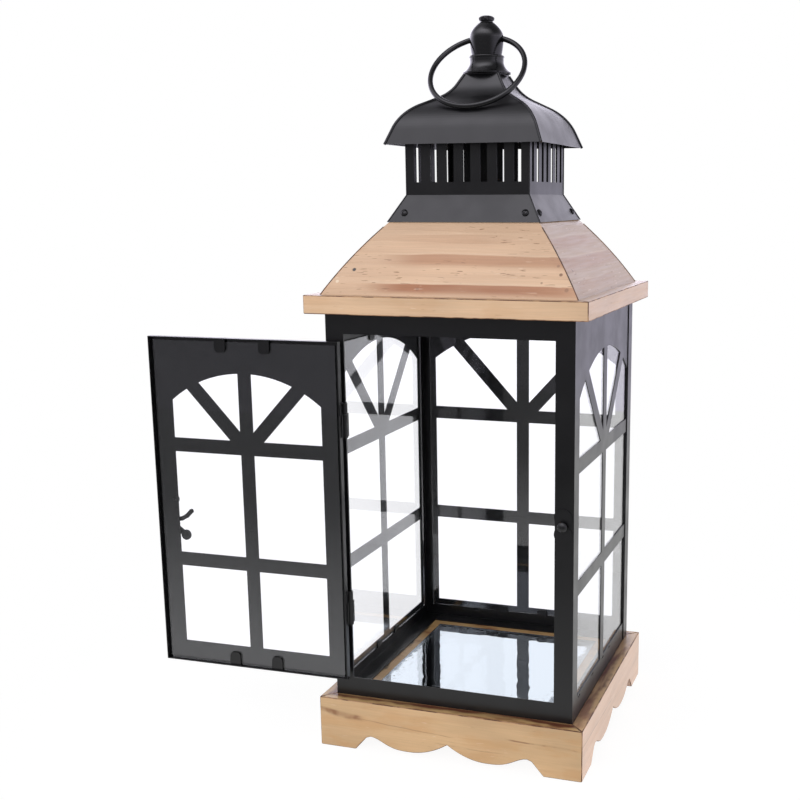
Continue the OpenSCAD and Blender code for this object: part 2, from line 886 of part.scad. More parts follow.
module vent(i) {
    z_in = z_skirt + (skirt_r - skirt_lt - vent_r + sheet_t)/skirt_m;
    color(BLACK)
    difference() {
        side(i)
        difference() {
            mitred(skirt_r, z_skirt, wall_top)
                polygon([
                    [skirt_r, z_skirt], [vent_r, z_bend], [vent_r, wall_top],
                    [vent_r - sheet_t, wall_top], [vent_r - sheet_t, z_in],
                    [skirt_r - skirt_lt, z_skirt]
                ]);
            for (k = [0:slot_n - 1])
                translate([(k - (slot_n - 1)/2)*slot_pitch - slot_w/2,
                        -vent_r - e, z_bend + slot_foot])
                    cube([slot_w, sheet_t + 2*e, min(slot_h, wall_top - z_bend - slot_foot - 3)]);
        }
        at_screws() translate([0, 0, -2]) cylinder(r = screw_r + fit, h = 4);
    }
}

// pan-head screws with a cross recess
module vent_screws() {
    dome_r = screw_head_r + 1.2;
    color(STEEL)
    at_screws()
    difference() {
        union() {
            translate([0, 0, -screw_l]) cylinder(r = screw_r, h = screw_l + 0.5);
            intersection() {
                cylinder(r = screw_head_r, h = screw_head_r);
                translate([0, 0, 2 - dome_r]) sphere(r = dome_r);
            }
        }
        for (a = [45, 135])
            rotate(a) translate([-1.6, -0.3, 1]) cube([3.2, 0.6, 2]);
    }
}

// ---- cap ----

module cap(i) {
    n = len(cap_path);
    color(BLACK)
    side(i)
    mitred(cap_r, z_cap, z_neck)
        intersection() {
            polygon(concat(cap_out, [for (k = [n - 1:-1:0]) cap_in[k]]));
            translate([0, z_cap]) square([cap_r + e, z_neck - z_cap]);
        }
}

module cap_top_plate() {
    color(BLACK)
    difference() {
        translate([-neck_half, -neck_half, z_neck])
            cube([neck_w, neck_w, neck_plate_t]);
        translate([0, 0, z_neck - e]) cylinder(r = bolt_r + seat, h = neck_plate_t + 2*e);
    }
}

// ---- finial ----

module finial_collar() {
    bead = 0.9;
    h = collar_h - 2*bead - 2.2;
    curve = [
        for (i = [0:STEPS])
            let (t = i/STEPS)
                [band_r + (rim_r - band_r)*pow(1 - t, 2.3), rim_h + (h - rim_h)*t]
    ];
    top = [
        for (i = [0:8])
            [band_r + 0.6*bead*sin(22.5*i), collar_h - bead*(1 + cos(22.5*i))]
    ];
    color(BLACK)
    translate([0, 0, z_collar])
        rotate_extrude($fn = 96)
            difference() {
                polygon(concat(
                    [[bolt_r + seat, 0], [rim_r, 0]],
                    curve,
                    top,
                    [[bolt_r + seat, collar_h]]
                ));
                polygon(concat(
                    [[bolt_r + seat - e, -e], [rim_r - shell_t, -e], [rim_r - shell_t, 0]],
                    [for (p = curve) [p[0] - shell_t, p[1]]],
                    [[band_r - shell_t, collar_h - 1.2], [bolt_r + seat - e, collar_h - 1.2]]
                ));
            }
}

module finial_bolt() {
    color(STEEL)
    translate([0, 0, z_body]) {
        cylinder(r = bolt_r + 2.3, h = 3);
        translate([0, 0, -collar_h - neck_plate_t - 6])
            cylinder(r = bolt_r, h = collar_h + neck_plate_t + 6);
    }
}

module finial_nut() {
    color(STEEL)
    translate([0, 0, z_neck - 4])
        difference() {
            cylinder(r = bolt_r + 2.6, h = 4, $fn = 6);
            translate([0, 0, -e]) cylinder(r = bolt_r + fit, h = 4 + 2*e);
        }
}

module finial_body() {
    n = 2*STEPS;
    color(BLACK)
    translate([0, 0, z_body])
        difference() {
            rotate_extrude($fn = 96)
                polygon(concat(
                    [for (i = [0:n]) [body_out(body_h*i/n), body_h*i/n]],
                    [for (i = [n:-1:0])
                        [body_out(body_h*i/n) - shell_t - (1.4 - shell_t)*i/n, body_h*i/n]]
                ));
            translate([-2*shoulder_r, 0, ring_hole_z])
                rotate([0, 90, 0]) cylinder(r = ring_hole_r, h = 4*shoulder_r);
        }
}

module finial_cap() {
    lip = tip_r - 1.4;
    h1 = button_h*0.55;
    color(BLACK)
    translate([0, 0, z_button])
        difference() {
            rotate_extrude($fn = 96)
                polygon(concat(
                    [[0, -3], [lip - 0.15, -3], [lip - 0.15, 0], [tip_r - 0.6, 0],
                        [tip_r - 0.6, 0.8], [button_r - 0.3, 1.5]],
                    [for (i = [0:STEPS])
                        let (a = 90*i/STEPS)
                            [button_r*cos(a), h1 + (button_h - h1)*sin(a)]]
                ));
            for (k = [0:9])
                rotate(36*k + 9)
                    translate([button_r + 0.6, 0, 0.9]) cylinder(r = 1.2, h = button_h);
        }
}

module ring_handle() {
    color(BLACK)
    translate([0, 0, z_ring])
        rotate([-ring_lean, 0, 0])
            translate([0, 0, -ring_c])
                rotate([90, 0, 0])
                    rotate_extrude($fn = 128)
                        translate([ring_r, 0]) circle(r = wire_r, $fn = 32);
}

// ---- nodes ----

base_apron(FRONT);  // base_apron_front
base_apron(RIGHT);  // base_apron_right
base_apron(BACK);  // base_apron_back
base_apron(LEFT);  // base_apron_left
base_board();
base_corner_blocks();
mirror_plate();
front_frame();
left_panel();
right_panel();
back_panel();
glass_left();
glass_right();
glass_back();
latch_stud();
stud_plate();
translate([0, 0, z_deck + hinge_high]) hinge_frame_leaf();  // hinge_upper_frame_leaf
swung() translate([0, 0, z_deck + hinge_high]) hinge_door_leaf();  // hinge_upper_door_leaf
translate([0, 0, z_deck + hinge_high]) hinge_pin();  // hinge_upper_pin
translate([0, 0, z_deck + hinge_low]) hinge_frame_leaf();  // hinge_lower_frame_leaf
swung() translate([0, 0, z_deck + hinge_low]) hinge_door_leaf();  // hinge_lower_door_leaf
translate([0, 0, z_deck + hinge_low]) hinge_pin();  // hinge_lower_pin
door_frame();
door_glass();
latch_hook();
latch_rivet();
eave(FRONT);  // eave_front
eave(RIGHT);  // eave_right
eave(BACK);  // eave_back
eave(LEFT);  // eave_left
roof(FRONT);  // roof_front
roof(RIGHT);  // roof_right
roof(BACK);  // roof_back
roof(LEFT);  // roof_left
vent(FRONT);  // vent_front
vent(RIGHT);  // vent_right
vent(BACK);  // vent_back
vent(LEFT);  // vent_left
vent_screws();
cap(FRONT);  // cap_front
cap(RIGHT);  // cap_right
cap(BACK);  // cap_back
cap(LEFT);  // cap_left
cap_top_plate();
finial_collar();
finial_bolt();
finial_nut();
finial_body();
finial_cap();
ring_handle();
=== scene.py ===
# %% [markdown]
# # A candle lantern, dressed from its packed model
# The lantern is already built as solids. Here it is loaded
# as a fixed frame, and this lesson gives it wood, powder coat, glass and the
# small hand-made details that solids leave out. Each solid comes in as an
# object with a name, so a finish can be given to it by that name.
# Everything is in metres. +Z is up and the door side faces -Y.

import math

import bpy
from mathutils import Matrix, Vector


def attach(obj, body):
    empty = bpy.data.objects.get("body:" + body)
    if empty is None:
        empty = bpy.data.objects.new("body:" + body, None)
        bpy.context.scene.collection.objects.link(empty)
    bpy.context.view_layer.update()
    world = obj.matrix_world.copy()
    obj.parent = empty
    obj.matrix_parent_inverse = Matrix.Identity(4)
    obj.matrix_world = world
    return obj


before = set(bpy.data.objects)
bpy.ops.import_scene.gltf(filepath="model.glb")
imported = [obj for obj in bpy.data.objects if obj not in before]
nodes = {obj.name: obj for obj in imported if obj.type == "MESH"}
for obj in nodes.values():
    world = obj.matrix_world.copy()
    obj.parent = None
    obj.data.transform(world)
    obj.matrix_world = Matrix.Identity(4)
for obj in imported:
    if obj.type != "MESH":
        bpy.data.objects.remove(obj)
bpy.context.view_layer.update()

# %% [markdown]
# ## Camera
# The photograph was taken close to the lantern, slightly from its right and
# from above. A camera could be placed by eye, but here its place and its
# three directions were solved from the corners of the base, cage and eave, so
# they are given as numbers: the columns of its matrix are its right, its up
# and the way back from the view. The shift moves the picture sideways
# without turning the camera, so upright posts keep their slant.

# %% Camera
EYE = Vector((0.332413, -0.997871, 0.478499))
RIGHT = Vector((0.951963, 0.306190, -0.003825))
UP = Vector((-0.057474, 0.190932, 0.979919))
BACK = Vector((0.300771, -0.932627, 0.199359))
LENS_MM = 52.694
SENSOR_MM = 36
SHIFT = (-0.125, 0.04605)

camera_data = bpy.data.cameras.new("camera")
camera_data.sensor_width = SENSOR_MM
camera_data.lens = LENS_MM
camera_data.shift_x, camera_data.shift_y = SHIFT
camera = bpy.data.objects.new("camera", camera_data)
bpy.context.scene.collection.objects.link(camera)
turn = Matrix((RIGHT, UP, BACK)).transposed().to_4x4()
camera.matrix_world = Matrix.Translation(EYE) @ turn
bpy.context.scene.camera = camera
bpy.context.scene.view_settings.view_transform = "Standard"
print("camera looks down by", round(math.degrees(math.asin(BACK.z)), 1), "degrees")

# %% [markdown]
# ## A small helper for node trees
# Every finish below is a little network of nodes. Creating nodes one by one
# makes long code, so this helper adds a node, sets its fields and links its
# inputs in one call. An input may be a number, a colour or another socket.
# The other calls are the few steps that every finish here repeats: plus,
# times, a smooth step between two levels, a ramp, a mix and a noise.

# %% Node helper
class Tree:
    def __init__(self, tree):
        self.tree = tree
        tree.nodes.clear()

    def add(self, kind, inputs=None, **fields):
        node = self.tree.nodes.new(kind)
        for key, value in fields.items():
            setattr(node, key, value)
        for key, value in (inputs or {}).items():
            socket = node.inputs[key]
            if isinstance(value, bpy.types.NodeSocket):
                self.tree.links.new(value, socket)
            else:
                socket.default_value = value
        return node

    def math(self, operation, a, b=0.0):
        return self.add("ShaderNodeMath", {0: a, 1: b}, operation=operation).outputs[0]

    def plus(self, first, *others):
        for other in others:
            first = self.math("ADD", first, other)
        return first

    def minus(self, a, b):
        return self.math("SUBTRACT", a, b)

    def times(self, first, *others):
        for other in others:
            first = self.math("MULTIPLY", first, other)
        return first

    def vector(self, operation, a, b=(0, 0, 0), output=0):
        return self.add("ShaderNodeVectorMath", {0: a, 1: b}, operation=operation).outputs[output]

    def split(self, vector):
        return self.add("ShaderNodeSeparateXYZ", {0: vector}).outputs

    def grey(self, level):
        return self.add("ShaderNodeCombineColor", {0: level, 1: level, 2: level}).outputs[0]

    def mix(self, factor, a, b, blend="MIX"):
        fields = {0: factor, 6: a, 7: b}
        return self.add("ShaderNodeMix", fields, data_type="RGBA", blend_type=blend).outputs[2]

    def span(self, value, low, high, to_low=0.0, to_high=1.0):
        """A smooth step: to_low below `low`, to_high above `high`."""
        node = self.add("ShaderNodeMapRange", {0: value, 1: low, 2: high, 3: to_low, 4: to_high})
        node.interpolation_type = "SMOOTHSTEP"
        return node.outputs[0]

    def ramp(self, value, *stops):
        node = self.add("ShaderNodeValToRGB", {0: value})
        elements = node.color_ramp.elements
        while len(elements) < len(stops):
            elements.new(0.5)
        for element, (place, colour) in zip(elements, stops):
            element.position = place
            element.color = (*colour, 1) if hasattr(colour, "__len__") else (colour, colour, colour, 1)
        return node.outputs[0]

    def place(self):
        """Where a point of the lantern is, in metres."""
        return self.add("ShaderNodeTexCoord").outputs["Object"]

    def noise(self, vector, scale, detail, rough=0.5):
        inputs = {"Vector": vector, "Scale": scale, "Detail": detail, "Roughness": rough}
        return self.add("ShaderNodeTexNoise", inputs).outputs["Fac"]

    def bump(self, height, distance, strength, **under):
        inputs = {"Height": height, "Distance": distance, "Strength": strength, **under}
        return self.add("ShaderNodeBump", inputs).outputs[0]


def new_material(name):
    material = bpy.data.materials.new(name)
    material.use_nodes = True
    return material, Tree(material.node_tree)


def finish_material(tree, surface):
    tree.add("ShaderNodeOutputMaterial", {"Surface": surface})


print("node helper calls:", [name for name in vars(Tree) if not name.startswith("_")])

# %% [markdown]
# ## The room that the metal mirrors
# The photograph has a pure white background, a white wall low behind the
# lantern and to its right, a broad soft light high in front, and a dark room
# ahead. One plain world colour would light the lantern, but black sheet shows
# only what it reflects. So reflected rays see a studio: white low behind with
# a faint violet, half as bright on the right, a bright panel high in front,
# and dark elsewhere. That makes the black coat read as black in front and
# silvery grey on the right. Both ramps go by height, from level with the
# lantern (0) to overhead (1).

# %% Reflected studio
WHITE_WALL = [(0.0, (0.500, 0.492, 0.545)), (0.05, (0.390, 0.384, 0.425)),
              (0.17, (0.700, 0.690, 0.740)), (0.25, (0.640, 0.630, 0.670)),
              (0.48, (0.230, 0.226, 0.245)), (0.68, 0.100), (1.0, 0.090)]
DARK_ROOM = [(0.0, 0.070), (0.14, 0.075), (0.31, 0.170), (0.44, 0.170),
             (0.62, 0.420), (0.80, 0.720), (0.92, 1.000), (1.0, 0.160)]
STUDIO_LEVEL = (4.0, 3.92, 4.25, 1)

world = bpy.data.worlds.new("studio")
bpy.context.scene.world = world
world.use_nodes = True
room = Tree(world.node_tree)
direction = room.split(room.add("ShaderNodeTexCoord").outputs["Generated"])
forward = room.minus(room.times(direction[1], -1.0), room.times(direction[0], 0.25))
front = room.span(forward, -0.1, 0.7)
right_side = room.span(direction[0], -0.16, 0.10, 1.0, 0.50)
behind = room.mix(1.0, room.ramp(direction[2], *WHITE_WALL), room.grey(right_side), "MULTIPLY")
ahead = room.ramp(direction[2], *DARK_ROOM)
studio = room.mix(1.0, room.mix(front, behind, ahead), STUDIO_LEVEL, "MULTIPLY")
print("studio nodes:", len(world.node_tree.nodes))

# %% [markdown]
# ## What each kind of ray sees
# A world can answer each kind of ray in its own way. The camera sees plain
# white, at a strength of exactly 1. Light that falls on the lantern from the
# room is a soft grey. Metal sees the studio. Rays that came through a pane
# see a little more than white, because each pane takes some light away. Only
# low in front they see the dark room, as metal does.

# %% Sky
WHITE = (1, 1, 1, 1)
SOFT_GREY = (0.47, 0.47, 0.49, 1)
THROUGH_PANES = (1.22, 1.22, 1.24, 1)

rays = room.add("ShaderNodeLightPath").outputs
first = room.math("LESS_THAN", rays["Diffuse Depth"], 0.5)
low_in_front = room.times(front, room.span(direction[2], 0.05, 0.20, 1.0, 0.0))
through = room.times(rays["Is Transmission Ray"], room.minus(1.0, low_in_front), first)
colour = room.mix(room.times(rays["Is Glossy Ray"], first), SOFT_GREY, studio)
colour = room.mix(through, colour, THROUGH_PANES)
colour = room.mix(rays["Is Camera Ray"], colour, WHITE)
sky = room.add("ShaderNodeBackground", {"Color": colour, "Strength": 1.0})
room.add("ShaderNodeOutputWorld", {"Surface": sky.outputs[0]})
print("world nodes:", len(world.node_tree.nodes))

# %% [markdown]
# ## Floor
# The lantern stands on a sheet of white paper. One large square would do in
# any scene. It has to be wide enough that its edge is never seen.

# %% Floor
HALF = 1.6
corners = [(-HALF, -HALF, 0), (HALF, -HALF, 0), (HALF, HALF, 0), (-HALF, HALF, 0)]
floor_mesh = bpy.data.meshes.new("floor")
floor_mesh.from_pydata(corners, [], [(0, 1, 2, 3)])
floor = bpy.data.objects.new("floor", floor_mesh)
bpy.context.scene.collection.objects.link(floor)
print("floor:", 2 * HALF, "m square")

# %% [markdown]
# ## White paper
# A diffuse sheet would go grey away from the lamps, and a glowing one would
# lose the lantern's shadow. So the paper is a mix of both: near the lantern a
# small share is diffuse and keeps the shadow, and further out it is plain
# white. For reflections it fades into the dark room in front, which gives the
# open door its dark upper sheet and its lighter foot.

# %% Paper
SHADOW_SHARE = 0.16
SHADOW_LIFT = 0.10
PANE_LIFT = 0.20

paper, sheet = new_material("paper_floor")
rays = sheet.add("ShaderNodeLightPath").outputs
place = sheet.place()
from_middle = sheet.vector("LENGTH", place, output="Value")
middle = sheet.span(from_middle, 0.17, 0.48, 1.0, 0.0)
near = sheet.span(sheet.split(place)[1], -0.95, -0.06, 0.14, 0.95)
mirrored = sheet.times(rays["Is Glossy Ray"], sheet.minus(1.0, near))
pane_lift = sheet.times(rays["Is Transmission Ray"], PANE_LIFT)
bright = sheet.plus(1.0, sheet.times(middle, SHADOW_LIFT), pane_lift)
glow = sheet.add("ShaderNodeEmission", {"Color": WHITE, "Strength": sheet.minus(bright, mirrored)})
plain = sheet.add("ShaderNodeBsdfDiffuse", {"Color": (0.88, 0.88, 0.88, 1)})
seen = sheet.math("MAXIMUM", rays["Is Glossy Ray"], rays["Is Transmission Ray"])
seen = sheet.math("MAXIMUM", rays["Is Camera Ray"], seen)
share = sheet.times(seen, sheet.minus(1.0, sheet.times(middle, SHADOW_SHARE)))
blend = sheet.add("ShaderNodeMixShader", {0: share, 1: plain.outputs[0], 2: glow.outputs[0]})
finish_material(sheet, blend.outputs[0])
floor_mesh.materials.append(paper)
print("paper nodes:", len(paper.node_tree.nodes))

# %% [markdown]
# ## Lamps
# The shadows in the photograph are very soft, so the lamps are large squares:
# one high in front, one low on the right that brightens the pale right side,
# and a weak one that opens the shadow under the eave. Small lamps would draw
# hard edges. They are hidden from reflections and from the panes, because the
# studio above already gives the metal its lights.

# %% Softboxes
SOFTBOXES = {
    # name: (place, aim, side in metres, watts, tint)
    "front_softbox": ((-0.40, -1.70, 1.00), (0, 0, 0.30), 1.4, 12, (1, 1, 1)),
    "right_softbox": ((2.1, 0.2, 0.20), (0, 0, 0.10), 0.9, 15, (1.0, 0.98, 0.98)),
    "low_fill": ((-1.3, -1.9, 0.40), (0, 0, 0.10), 0.9, 7, (1, 1, 1)),
}
for name, (stand, aim, side, watts, tint) in SOFTBOXES.items():
    lamp = bpy.data.lights.new(name, "AREA")
    lamp.shape = "SQUARE"
    lamp.size = side
    lamp.energy = watts
    lamp.color = tint
    softbox = bpy.data.objects.new(name, lamp)
    bpy.context.scene.collection.objects.link(softbox)
    softbox.location = stand
    way = Vector(aim) - Vector(stand)
    softbox.rotation_euler = way.to_track_quat("-Z", "Y").to_euler()
    softbox.visible_glossy = False
    softbox.visible_transmission = False
print("lamps:", list(SOFTBOXES))

# %% [markdown]
# ## Coordinates that follow a board
# The boards are light pine with a clear lacquer. An image of wood would do,
# but a procedural wood can follow each board: u runs along the board, v
# across it and w through it, and a seed moves the pattern so that no two
# boards match. Noise that is stretched along u looks like grain.

# %% Grain coordinates
class Grain:
    def __init__(self, tree, along, across, seed):
        self.tree = tree
        self.place = tree.place()
        through_board = Vector(along).cross(Vector(across))
        self.u, self.v, self.w = (self.distance_along(way) for way in (along, across, through_board))
        local = tree.add("ShaderNodeCombineXYZ", {0: self.u, 1: self.v, 2: self.w}).outputs[0]
        self.local = tree.vector("ADD", local, (seed * 1.7, seed * 0.9, seed * 1.3))

    def distance_along(self, way):
        return self.tree.vector("DOT_PRODUCT", self.place, Vector(way), output="Value")

    def noise(self, along_scale, across_scale, detail=3.0, rough=0.5):
        stretch = (along_scale, across_scale, across_scale)
        return self.tree.noise(self.tree.vector("MULTIPLY", self.local, stretch), 1.0, detail, rough)

    def wave(self, along_scale, across_scale, height):
        """A slow sideways wander, up to half of `height` either way."""
        centred = self.tree.minus(self.noise(along_scale, across_scale, 2), 0.5)
        return self.tree.times(centred, height)


print("grain coordinates: u along, v across, w through the board")

# %% [markdown]
# ## Year rings and dashes
# Plain-sawn pine shows its year rings as lines across the board: each one
# rises slowly from pale early wood to brown late wood and ends in a sharp
# edge. A saw-tooth wave of the distance across the board does just that, and
# a little wander keeps the lines from being straight. Between the rings are
# short dark dashes, the resin canals, with pale ones beside them.

# %% Rings and dashes
EARLY = (0.745, 0.510, 0.335)
LATE = (0.470, 0.235, 0.125)
PALE_DASH = (0.86, 0.66, 0.48, 1)
DARK_DASH = (0.30, 0.15, 0.07, 1)
RING_SHAPE = [(0.0, 1.0), (0.10, 0.72), (0.42, 0.30), (0.70, 0.05), (0.955, 0.0), (0.985, 1.0)]


def year_rings(tree, grain, spacing, seed):
    """0 in early wood, 1 at the dark edge of each ring."""
    wander = grain.wave(4, 26, spacing * 1.5)
    ripple = grain.wave(14, 160, spacing * 0.22)
    ring = tree.math("DIVIDE", tree.plus(grain.v, wander, ripple), spacing)
    phase = tree.math("FRACT", tree.plus(ring, seed * 0.37 + 40.0))
    faded = tree.span(grain.noise(3, 16, 1), 0.35, 0.68, 0.25, 1.0)
    return tree.times(tree.ramp(phase, *RING_SHAPE), faded)


def short_dashes(tree, grain, colour, strength):
    where = tree.span(grain.noise(14, 40, 2), 0.38, 0.56)
    dark = tree.times(tree.span(grain.noise(95, 850, 1, 0.4), 0.680, 0.740), where)
    pale = tree.times(tree.span(grain.noise(80, 600, 1, 0.4), 0.690, 0.760), where)
    colour = tree.mix(tree.times(pale, 0.45), colour, PALE_DASH)
    return tree.mix(tree.times(dark, strength), colour, DARK_DASH)


print("pine: early wood", EARLY, "late wood", LATE)

# %% [markdown]
# ## Marks that have a place
# Some marks are big enough to be known by their place: the broad brown bands
# where a ring is cut at a low angle, long thin grain lines, pin knots and
# nail holes, whose dark inside is painted shade. Noise would put them
# anywhere, so they are given in metres on the board. A band is sharp along
# its upper edge, with a pale rim above it that is a painted highlight.

# %% Bands, lines and spots
BAND = (0.370, 0.145, 0.056)
# The pale rim above each band is a painted highlight.
BAND_HIGHLIGHT = (0.87, 0.66, 0.47, 1)
GRAIN_LINE = (0.27, 0.115, 0.045, 1)


def broad_band(tree, grain, colour, edge, width, start, end, strength):
    """A band of late wood under the level `edge`, sharp above, soft below, with a painted highlight just
    above it.
    """
    below = tree.minus(edge, tree.plus(grain.v, grain.wave(9, 30, 0.0065)))
    soft_side = tree.span(below, width * 0.45, width, 1.0, 0.0)
    body = tree.times(tree.span(below, -0.0002, 0.0008), soft_side)
    reach = tree.times(tree.span(grain.u, start, start + 0.05), tree.span(grain.u, end - 0.05, end, 1.0, 0.0))
    cloud = tree.span(grain.noise(10, 40, 3), 0.30, 0.62, 0.75, 1.0)
    rim_highlight = tree.times(tree.span(below, -0.0028, -0.0006), tree.span(below, -0.0006, 0.0002, 1.0, 0.0), reach)
    colour = tree.mix(tree.times(rim_highlight, 0.35 * strength), colour, BAND_HIGHLIGHT)
    return tree.mix(tree.times(body, reach, cloud, strength), colour, (*BAND, 1))


def grain_line(tree, grain, colour, first, last, width, strength):
    """A thin dark line between two (u, v) points, a little wavy."""
    slope = (last[1] - first[1]) / (last[0] - first[0])
    level = tree.plus(tree.times(grain.u, slope), first[1] - slope * first[0])
    wavy = tree.plus(grain.v, grain.wave(30, 30, 0.0035))
    off = tree.math("ABSOLUTE", tree.minus(wavy, level))
    starts = tree.span(grain.u, first[0] - 0.004, first[0] + 0.004)
    ends = tree.span(grain.u, last[0] - 0.012, last[0], 1.0, 0.0)
    broken = tree.span(grain.noise(60, 60, 2), 0.36, 0.58, 0.25, 1.0)
    core = tree.span(off, width * 0.25, width, strength, 0.0)
    return tree.mix(tree.times(core, starts, ends, broken), colour, GRAIN_LINE)


def spot(tree, grain, colour, centre, radius, tone, strength):
    """A knot, a nail hole whose near-black inside is painted shade, or a pale dot, at a place in the lantern.
    """
    distance = tree.vector("DISTANCE", grain.place, centre, output="Value")
    return tree.mix(tree.span(distance, radius * 0.55, radius, strength, 0.0), colour, (*tone, 1))


print("band colour:", BAND)

# %% [markdown]
# ## Reading a size from a piece
# A few finishes need a size of the lantern, such as how high the base boards
# reach. It could be typed in again, but a typed size is wrong as soon as the
# lantern changes. So it is read from the points of the piece itself.

# %% Reach of a piece
X, Z = 0, 2


def reach(node, axis, pick=max):
    """How far a piece reaches along an axis, or with min, where it begins."""
    return pick(vertex.co[axis] for vertex in nodes[node].data.vertices)


BASE_HALF = reach("base_apron_front", X)
BASE_TOP = reach("base_apron_front", Z)
print("base: half width", round(BASE_HALF, 4), "top", round(BASE_TOP, 4))

# %% [markdown]
# ## Scorched wood and painted shade
# The wood was browned, as with a flame. On the ledge round the cage it shows
# as orange and red-brown patches, nearly black close to the sheet, where the
# dark is scorching and also painted shade of the corner between ledge and
# cage. On every sharp arris it shows as a thin dark line, partly scorching
# and partly painted shade of the gap between roof and eave. The ledge is
# found by its height, so one material serves the whole board. The arris gets
# a material of its own, which a bevel puts on its narrow new faces. The glue
# line between the roof boards is a darker finish of the same kind.

# %% Ledge and arris
LEDGE_HEIGHT = (BASE_TOP - 0.0003, BASE_TOP - 0.0001)
LEDGE_DARK = (0.38, 0.145, 0.050, 1)
LEDGE_LIGHT = (0.82, 0.53, 0.22, 1)


def scorched_and_shaded_ledge(tree, grain, colour, outward, inner, outer, tone):
    """Browned board tops, with a dark patchy strip from `inner` inwards: scorching, and on the base also
    painted shade next to the cage.
    """
    outwards = tree.plus(grain.distance_along(outward), grain.wave(45, 45, 0.012))
    strip = tree.span(outwards, inner, outer, 1.0, 0.0)
    top = tree.span(tree.split(grain.place)[2], *LEDGE_HEIGHT)
    patch = tree.times(tree.span(grain.noise(16, 120, 3), 0.38, 0.58, 0.40, 1.0), top)
    ledge = tree.mix(tree.span(grain.noise(26, 75, 3, 0.6), 0.33, 0.51), LEDGE_DARK, LEDGE_LIGHT)
    colour = tree.mix(tree.times(top, 0.70), colour, ledge)
    return tree.mix(tree.times(strip, patch), colour, (*tone, 1))


def dark_patchy(name, dark, light):
    material, tree = new_material(name)
    patch = tree.noise(tree.place(), 95.0, 3.0)
    colour = tree.mix(tree.span(patch, 0.42, 0.62), (*dark, 1), (*light, 1))
    wood = tree.add("ShaderNodeBsdfPrincipled", {"Base Color": colour, "Roughness": 0.5})
    finish_material(tree, wood.outputs[0])
    return material


# The dark arris line is partly scorching and partly painted shade of the gap between roof and eave.
arris = dark_patchy("scorched_and_shaded_arris", (0.120, 0.050, 0.024), (0.460, 0.260, 0.140))
glue = dark_patchy("dark_glue_line", (0.060, 0.024, 0.012), (0.170, 0.075, 0.038))
print("scorched finishes:", arris.name, glue.name)

# %% [markdown]
# ## Pine under lacquer
# All of this goes into one material per board. The order is the order in
# which it lies in the wood: rings and bands first, then fibres and a cloudy
# tone, warm patches where the lacquer soaked in, dashes, lines and knots, and
# the scorching last, which on the base ledge also carries painted shade next
# to the cage. The fibres also make a slight relief. The lacquer is a
# thin clear coat over it.

# %% Pine
WARM = (0.60, 0.30, 0.11, 1)


def pine(name, along, across, seed, rings, ring_strength, tint=(1, 1, 1), dashes=0.5,
         bands=(), lines=(), spots=(), ledge_and_strip=None, mottle=0.0):
    """One board's wood: rings is the ring spacing in metres, the rest are strengths or marks."""
    material, tree = new_material(name)
    grain = Grain(tree, along, across, seed)
    late = year_rings(tree, grain, rings, seed)
    early = tuple(part * share for part, share in zip(EARLY, tint))
    colour = tree.mix(tree.times(late, ring_strength), (*early, 1), (*LATE, 1))
    for band in bands:
        colour = broad_band(tree, grain, colour, *band)
    fibre = tree.span(grain.noise(26, 900, 4, 0.65), 0.25, 0.75, 0.94, 1.04)
    cloud = tree.span(grain.noise(9, 22, 2), 0.3, 0.7, 0.94 - 0.25 * mottle, 1.05 + 0.15 * mottle)
    colour = tree.mix(1.0, colour, tree.grey(tree.times(cloud, fibre)), "MULTIPLY")
    soaked = tree.span(grain.noise(20, 70, 4, 0.6), 0.47, 0.66)
    colour = tree.mix(tree.times(soaked, mottle), colour, WARM)
    colour = short_dashes(tree, grain, colour, dashes)
    for line in lines:
        colour = grain_line(tree, grain, colour, *line)
    for mark in spots:
        colour = spot(tree, grain, colour, *mark)
    if ledge_and_strip:
        colour = scorched_and_shaded_ledge(tree, grain, colour, *ledge_and_strip)
    relief = tree.minus(tree.times(fibre, 0.9), tree.times(late, 0.4))
    wood = tree.add("ShaderNodeBsdfPrincipled", {
        "Base Color": colour,
        "Roughness": tree.span(grain.noise(20, 400, 2), 0.3, 0.7, 0.36, 0.48),
        "Normal": tree.bump(relief, 0.0004, 0.30),
        "Coat Weight": 0.40, "Coat Roughness": 0.25, "IOR": 1.45})
    finish_material(tree, wood.outputs[0])
    return material


wooden = [name for name in nodes if name.startswith(("roof_", "base_", "eave_"))]
print("pine is ready for", len(wooden), "wooden nodes")
